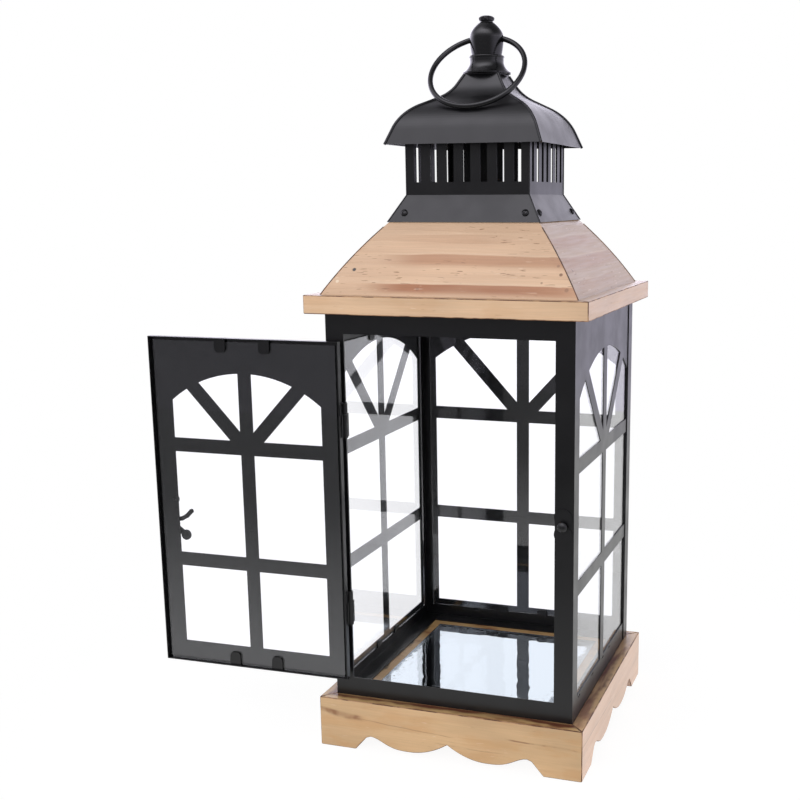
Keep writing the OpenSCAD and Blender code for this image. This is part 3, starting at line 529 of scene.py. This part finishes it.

# %% [markdown]
# ## Where the roof's marks are
# The front roof board has three broad bands, a nail hole near its left end,
# painted as a near-black spot of shade, a pale filled one beside it, and pin
# knots near its right end. The right
# board has softer bands. The two boards at the back get marks of their own,
# so that no side looks blank. A band is (upper edge, width, start, end,
# strength), and a spot is (centre, radius, tone, strength).

# %% Roof marks
KNOT = (0.160, 0.065, 0.028)
# The nail hole's near-black tone is painted shade inside the hole.
NAIL_HOLE_SHADE = (0.012, 0.008, 0.006)
FILLER = (0.90, 0.74, 0.56)
ROOF_BANDS = {
    "front": [(0.2672, 0.0125, -0.085, 0.140, 0.98),
              (0.2952, 0.0150, -0.075, 0.140, 0.66),
              (0.3150, 0.0150, -0.070, 0.060, 0.22)],
    "right": [(0.2700, 0.0120, -0.120, 0.060, 0.30),
              (0.2925, 0.0170, -0.130, 0.120, 0.55),
              (0.3120, 0.0150, -0.130, 0.080, 0.50)],
    "back": [(0.2760, 0.0160, -0.130, 0.070, 0.60),
             (0.3035, 0.0140, -0.060, 0.130, 0.45)],
    "left": [(0.2640, 0.0100, -0.130, 0.130, 0.55),
             (0.2870, 0.0140, -0.040, 0.130, 0.60),
             (0.3165, 0.0150, -0.120, 0.050, 0.35)],
}
ROOF_SPOTS = {
    "front": [((-0.0851, -0.0978, 0.4212), 0.0021, NAIL_HOLE_SHADE, 1.0),
              ((-0.0979, -0.1040, 0.4115), 0.0018, FILLER, 0.8),
              ((0.0934, -0.0990, 0.4197), 0.0019, KNOT, 0.80),
              ((0.0788, -0.1034, 0.4133), 0.0014, KNOT, 0.55),
              ((0.0900, -0.0943, 0.4262), 0.0017, KNOT, 0.45),
              ((0.1000, -0.1060, 0.4078), 0.0022, KNOT, 0.45),
              ((0.0328, -0.0768, 0.4490), 0.0014, KNOT, 0.60),
              ((-0.0250, -0.1075, 0.4067), 0.0020, KNOT, 0.35)],
    "right": [((0.0974, -0.0770, 0.4216), 0.0019, KNOT, 0.7),
              ((0.0910, -0.0031, 0.4300), 0.0014, KNOT, 0.5)],
    "back": [((-0.0600, 0.0905, 0.4310), 0.0030, KNOT, 0.6)],
    "left": [((-0.0960, 0.0500, 0.4230), 0.0026, KNOT, 0.6)],
}
print("roof marks:", sum(len(marks) for marks in ROOF_SPOTS.values()))

# %% [markdown]
# ## Where the base's lines are
# The front of the base has a short dark streak at its left end and thin
# lines that run nearly level. A line is (first point, last point, width,
# strength), with its points as (u, v) on the board.

# %% Base lines
BASE_LINES = {
    "front": [((-0.121, 0.0350), (-0.075, 0.0285), 0.0034, 1.0),
              ((-0.110, 0.0325), (-0.084, 0.0288), 0.0034, 1.0),
              ((-0.085, 0.0290), (0.010, 0.0245), 0.0007, 0.40),
              ((0.055, 0.0290), (0.119, 0.0278), 0.0010, 0.75),
              ((-0.010, 0.0170), (0.060, 0.0150), 0.0008, 0.25)],
    "right": [((-0.119, 0.0310), (0.000, 0.0260), 0.0010, 0.35)],
    "back": [((-0.110, 0.0180), (0.040, 0.0240), 0.0012, 0.5)],
    "left": [((-0.060, 0.0330), (0.115, 0.0270), 0.0014, 0.55)],
}
print("base lines:", sum(len(lines) for lines in BASE_LINES.values()))

# %% [markdown]
# ## Giving a finish and easing an edge
# A board's sharp arris is taken off with a stroke of sandpaper. A bevel
# modifier does that without changing the mesh itself. Welding first joins
# the corners, and where a curved edge has many short pieces, dissolving flat
# neighbours first keeps the bevel even. The bevel's new faces can take
# another material slot, which is how the scorched line, partly painted shade, gets on to the arris.

# %% Dress and soften
def dress(node, *materials):
    mesh = nodes[node].data
    mesh.materials.clear()
    for material in materials:
        mesh.materials.append(material)


ARRIS_SLOT = 1
SHARP = math.radians(32)
FLAT = math.radians(0.5)


def soften(node, width, many_short_edges=False):
    piece = nodes[node]
    weld = piece.modifiers.new("weld", "WELD")
    weld.merge_threshold = 1e-5
    if many_short_edges:
        whole = piece.modifiers.new("whole_faces", "DECIMATE")
        whole.decimate_type = "DISSOLVE"
        whole.angle_limit = FLAT
    bevel = piece.modifiers.new("bevel", "BEVEL")
    bevel.width = width
    bevel.segments = 2
    bevel.limit_method = "ANGLE"
    bevel.angle_limit = SHARP
    bevel.harden_normals = True
    bevel.use_clamp_overlap = not many_short_edges
    bevel.material = ARRIS_SLOT


print("faces of the front roof board before its bevel:", len(nodes["roof_front"].data.polygons))

# %% [markdown]
# ## Wood on every board
# Each board gets its own copy of the pine, because its grain runs along its
# own length. Real boards differ a little in tone, so each side has a tint of
# its own; on the right side the tint is painted light and shade, darker on
# the roof and lighter and bluer on the base. The roof's grain lies level too,
# and the direction across its boards leans with the slope. The deck inside
# the cage is darker, and nearly black in a strip along its left edge. The glue
# blocks stand upright behind the corners of the base. The roof's sharp edges
# are eased more than the others.

# %% Boards
ALONG = {"front": (1, 0, 0), "back": (-1, 0, 0), "left": (0, -1, 0), "right": (0, 1, 0)}
OUT = {"front": (0, -1, 0), "back": (0, 1, 0), "left": (-1, 0, 0), "right": (1, 0, 0)}
# On the right side these tints are painted light and shade: the right roof board is darkened, the right base
# board lightened and made bluer.
ROOF_TINT_AND_SHADE = {"front": (1.00, 0.985, 0.97), "right": (0.62, 0.60, 0.56),
             "back": (0.95, 0.95, 0.95), "left": (0.92, 0.92, 0.92)}
BASE_TINT_AND_LIGHT = {"front": (0.91, 0.88, 0.71), "right": (1.22, 1.20, 1.29),
             "back": (0.95, 0.92, 0.82), "left": (0.95, 0.92, 0.82)}
BASE_MOTTLE = {"front": 0.34, "right": 0.12, "back": 0.34, "left": 0.34}
EAVE_TINT = (0.95, 0.94, 0.89)
DECK_TINT = (0.80, 0.56, 0.38)
# The dark strip on the base's ledge next to the cage is scorching and also painted shade in the corner where
# the ledge meets the sheet.
CHAR_AND_SHADE = (0.150, 0.045, 0.018)
DECK_EDGE_DARK = (0.020, 0.010, 0.006)
UPRIGHT = Vector((0, 0, 1))
# a step up the roof's slope goes this far in and this far up
ROOF_IN, ROOF_RISE = 0.597, 0.802
ROOF_EASING = 0.0011
BOARD_EASING = 0.0007
CHAR_AND_SHADE_STARTS = BASE_HALF - 0.0075
CHAR_AND_SHADE_ENDS = BASE_HALF - 0.0025

for seed, wall in enumerate(("front", "right", "back", "left")):
    length = Vector(ALONG[wall])
    out = Vector(OUT[wall])
    up_roof = (out * -ROOF_IN + UPRIGHT * ROOF_RISE).normalized()
    roof = pine("pine_roof_" + wall, length, up_roof, 3.1 + seed, rings=0.012, ring_strength=0.16,
                tint=ROOF_TINT_AND_SHADE[wall], dashes=0.95, bands=ROOF_BANDS[wall], spots=ROOF_SPOTS[wall])
    base = pine("pine_base_" + wall, length, UPRIGHT, 8.2 + seed, rings=0.013, ring_strength=0.22,
                tint=BASE_TINT_AND_LIGHT[wall], dashes=0.22, lines=BASE_LINES[wall],
                ledge_and_strip=(out, CHAR_AND_SHADE_STARTS, CHAR_AND_SHADE_ENDS, CHAR_AND_SHADE), mottle=BASE_MOTTLE[wall])
    eave = pine("pine_eave_" + wall, length, UPRIGHT, 14.6 + seed, rings=0.010, ring_strength=0.20,
                tint=EAVE_TINT, dashes=0.25, mottle=0.16)
    dress("roof_" + wall, roof, arris)
    dress("base_apron_" + wall, base, arris)
    dress("eave_" + wall, eave, arris)
    soften("roof_" + wall, ROOF_EASING)
    soften("base_apron_" + wall, BOARD_EASING, many_short_edges=True)
    soften("eave_" + wall, BOARD_EASING)

# The deck is nearly black in a strip along its left edge.
deck = pine("pine_deck", (1, 0, 0), (0, 1, 0), 21.3, rings=0.018, ring_strength=0.4,
            tint=DECK_TINT, ledge_and_strip=((1, 0, 0), -0.0915, -0.0885, DECK_EDGE_DARK))
blocks = pine("pine_blocks", UPRIGHT, (1, 0, 0), 23.9, rings=0.012, ring_strength=0.4)
dress("base_board", deck)
dress("base_corner_blocks", blocks)
print("wood materials:", sum(material.name.startswith("pine") for material in bpy.data.materials))

# %% [markdown]
# ## Powder-coated sheet
# The cage, door, chimney and cap are thin steel sheet under a matte black
# powder coat. Such a coat is nearly black in itself, and what shows is the
# soft gloss of its skin, stronger at a low angle, with a fine orange peel.
# A noise bump makes the peel, and another noise varies the gloss. The finial
# and the ring are smoother and shinier, and the screws are blackened steel.

# %% Black coat
def coat(name, tone, low, high, peel=0.10):
    material, tree = new_material(name)
    place = tree.place()
    fine = tree.noise(place, 1500.0, 2.0)
    broad = tree.noise(place, 42.0, 4.0)
    darker = (*(0.8 * part for part in tone), 1)
    lighter = (*(1.25 * part for part in tone), 1)
    skin = tree.add("ShaderNodeBsdfPrincipled", {
        "Base Color": tree.mix(broad, darker, lighter),
        "Roughness": tree.span(broad, 0.3, 0.7, low, high),
        "Normal": tree.bump(fine, 0.00012, peel)})
    finish_material(tree, skin.outputs[0])
    return material


SHEETS = ("front_frame", "left_panel", "right_panel", "back_panel", "door_frame",
          "stud_plate", "latch_stud", "latch_hook")
SMOOTH = ("finial_collar", "finial_body", "finial_cap", "ring_handle")
FASTENERS = ("latch_rivet", "hinge_upper_pin", "hinge_lower_pin", "vent_screws", "finial_bolt", "finial_nut")
black = coat("black_powder_coat", (0.0050, 0.0050, 0.0056), 0.28, 0.36)
satin = coat("black_satin_wire", (0.0050, 0.0050, 0.0055), 0.15, 0.22, 0.05)
steel = coat("blackened_steel", (0.0090, 0.0090, 0.0100), 0.20, 0.30, 0.05)
for name in nodes:
    if name.startswith(("vent_", "cap_", "hinge_")) or name in SHEETS:
        dress(name, black)
for name in SMOOTH:
    dress(name, satin)
for name in FASTENERS:
    dress(name, steel)
coated = [name for name, piece in nodes.items() if black.name in piece.data.materials]
print("coated nodes:", len(coated), "smooth:", len(SMOOTH), "fasteners:", len(FASTENERS))

# %% [markdown]
# ## Finding the line of a seam
# Two sheets of the cap meet on a hip, and so do those of the chimney and the
# boards of the roof. The line where they meet could be typed in again, but it
# is safer to read it from the sheet itself. On the mitre a point is as far
# out in x as in y. Each height has one point on the sheet's outer face and
# one on its inner face, and only the outer ones are kept.

# %% Hip points
ON_MITRE = 2e-5
SHEET_STEP = (0.0006, 0.0010)
SLACK = 1e-5


def has_outer_twin(point, points):
    """True where another point lies one sheet thickness further out."""
    for other in points:
        step = Vector((abs(other.x) - abs(point.x), other.z - point.z))
        outwards = step.x + step.y > 0 and step.x >= -SLACK and step.y >= -SLACK
        if outwards and SHEET_STEP[0] < step.length < SHEET_STEP[1]:
            return True
    return False


def hip_points(node, sign_x, top):
    """Outer points of a front or back sheet on its mitre, from low to high."""
    found = {}
    for vertex in nodes[node].data.vertices:
        x, y, z = vertex.co
        if x * sign_x > 0 and abs(abs(x) - abs(y)) < ON_MITRE and z < top:
            key = round(z, 5)
            if key not in found or abs(x) > abs(found[key].x):
                found[key] = vertex.co.copy()
    points = [found[key] for key in sorted(found)]
    return [point for point in points if not has_outer_twin(point, points)]


print("points on the cap's front right hip:", len(hip_points("cap_front", 1, 1.0)))

# %% [markdown]
# ## A bead along a line
# A narrow folded seam stands a little proud and catches a thin line of light
# beside a dark one. A bump could hint at it, but a seam also shows in the
# outline, so it is a real bead: a curve with a round section, turned into a
# mesh that rides on the lantern.

# %% Bead
BEAD_SMOOTHNESS = 3


def bead(name, points, radius, material, body="lantern"):
    curve = bpy.data.curves.new(name, "CURVE")
    curve.dimensions = "3D"
    curve.bevel_depth = radius
    curve.bevel_resolution = BEAD_SMOOTHNESS
    curve.use_fill_caps = True
    spline = curve.splines.new("POLY")
    spline.points.add(len(points) - 1)
    for place, point in zip(spline.points, points):
        place.co = (*point, 1)
    holder = bpy.data.objects.new(name + "_path", curve)
    bpy.context.scene.collection.objects.link(holder)
    shaped = holder.evaluated_get(bpy.context.evaluated_depsgraph_get())
    mesh = bpy.data.meshes.new_from_object(shaped)
    bpy.data.objects.remove(holder)
    bpy.data.curves.remove(curve)
    piece = bpy.data.objects.new(name, mesh)
    bpy.context.scene.collection.objects.link(piece)
    for face in mesh.polygons:
        face.use_smooth = True
    mesh.materials.clear()
    mesh.materials.append(material)
    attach(piece, body)
    return piece


print("bead smoothness:", BEAD_SMOOTHNESS)

# %% [markdown]
# ## Folded seams and roof joints
# The cap has a clear seam on each hip. The chimney's is finer, and it ends
# just inside the cap, out of sight. The roof boards are only glued, so their
# joint is a fine dark line that hardly stands up. The roof board's points
# include its underside, so only points outside the straight line from the
# roof's foot to the foot of the chimney's skirt are kept.

# %% Seams
CAP_SEAM = 0.0012
CHIMNEY_SEAM = 0.00060
ROOF_JOINT = 0.00045
INSIDE_CAP = 0.003
CHIMNEY_SEAM_TOP = reach("cap_front", Z, min) + INSIDE_CAP
FOOT_OUT, FOOT_HEIGHT = reach("roof_front", X), reach("roof_front", Z, min)
SKIRT_OUT, SKIRT_HEIGHT = reach("vent_front", X), reach("vent_front", Z, min)
NEARLY_OUT = 0.0004


def outside_roof(point):
    share = (point.z - FOOT_HEIGHT) / (SKIRT_HEIGHT - FOOT_HEIGHT)
    return abs(point.x) > FOOT_OUT + share * (SKIRT_OUT - FOOT_OUT) - NEARLY_OUT


for wall in ("front", "back"):
    for side, sign in (("left", -1), ("right", 1)):
        corner = wall + "_" + side
        cap_line = hip_points("cap_" + wall, sign, 1.0)
        vent_line = hip_points("vent_" + wall, sign, CHIMNEY_SEAM_TOP)
        vent_line.append(Vector((vent_line[-1].x, vent_line[-1].y, CHIMNEY_SEAM_TOP)))
        roof_line = [point for point in hip_points("roof_" + wall, sign, 1.0) if outside_roof(point)]
        bead("cap_seam_" + corner, cap_line, CAP_SEAM, black)
        bead("chimney_seam_" + corner, vent_line, CHIMNEY_SEAM, black)
        bead("roof_joint_" + corner, roof_line, ROOF_JOINT, glue)
print("points: cap", len(cap_line), "chimney", len(vent_line), "roof", len(roof_line))

# %% [markdown]
# ## Window glass
# The panes are 2 mm float glass, nearly colourless with a faint blue. A real
# glass shader bends and mirrors light as they do. On its own it would cast
# dark shadows, so shadow rays pass straight through a clear surface instead,
# and the inside of the lantern stays light.

# %% Glass
glass, clear = new_material("window_glass")
pane = clear.add("ShaderNodeBsdfPrincipled", {
    "Base Color": (0.970, 0.972, 1.0, 1), "Roughness": 0.0, "IOR": 1.5, "Transmission Weight": 1.0})
passing = clear.add("ShaderNodeBsdfTransparent", {"Color": (0.93, 0.96, 0.95, 1)})
shadow = clear.add("ShaderNodeLightPath").outputs["Is Shadow Ray"]
either = clear.add("ShaderNodeMixShader", {0: shadow, 1: pane.outputs[0], 2: passing.outputs[0]})
finish_material(clear, either.outputs[0])
PANES = ("glass_left", "glass_right", "glass_back", "door_glass")
for name in PANES:
    dress(name, glass)
print("panes:", len(PANES))

# %% [markdown]
# ## Mirror in the deck
# A thin mirror is let into the deck, to double the light of a candle. It is
# cheap glass: its silvering is worn to grey along the edge in a ragged line,
# with dark flecks near it, and it ripples slightly, so the mirrored posts
# wobble. It is a metal with almost no roughness. The wear goes by how near a
# point is to the mirror's edge, made ragged by a noise.

# %% Mirror
SILVER = (0.67, 0.735, 0.785, 1)
WORN_SILVER = (0.22, 0.25, 0.29, 1)
FLECK = (0.16, 0.18, 0.21, 1)
EDGE = reach("mirror_plate", X)

mirror, silvering = new_material("deck_mirror")
place = silvering.place()
across, back = (silvering.math("ABSOLUTE", part) for part in silvering.split(place)[:2])
from_middle = silvering.math("MAXIMUM", across, back)
near_edge = silvering.span(from_middle, EDGE - 0.020, EDGE + 0.003)
fleck = silvering.times(silvering.span(silvering.noise(place, 420.0, 3.0, 0.6), 0.60, 0.66), near_edge)
ragged = silvering.times(silvering.noise(place, 70.0, 4.0, 0.7), 0.016)
worn = silvering.span(silvering.plus(from_middle, ragged), EDGE + 0.0022, EDGE + 0.0056)
tint = silvering.mix(silvering.times(worn, 0.75), SILVER, WORN_SILVER)
tint = silvering.mix(silvering.times(fleck, 0.45), tint, FLECK)
ripple = silvering.bump(silvering.noise(place, 60.0, 1.0), 0.0010, 0.17)
silver = silvering.add("ShaderNodeBsdfPrincipled", {
    "Base Color": tint, "Metallic": 1.0,
    "Roughness": silvering.plus(silvering.times(worn, 0.25), 0.012),
    "Normal": silvering.bump(fleck, 0.0003, 0.30, Normal=ripple)})
finish_material(silvering, silver.outputs[0])
dress("mirror_plate", mirror)
print("mirror nodes:", len(mirror.node_tree.nodes))

# %% [markdown]
# ## Sizes and the end
# The dressed lantern must be as large as the solids were.
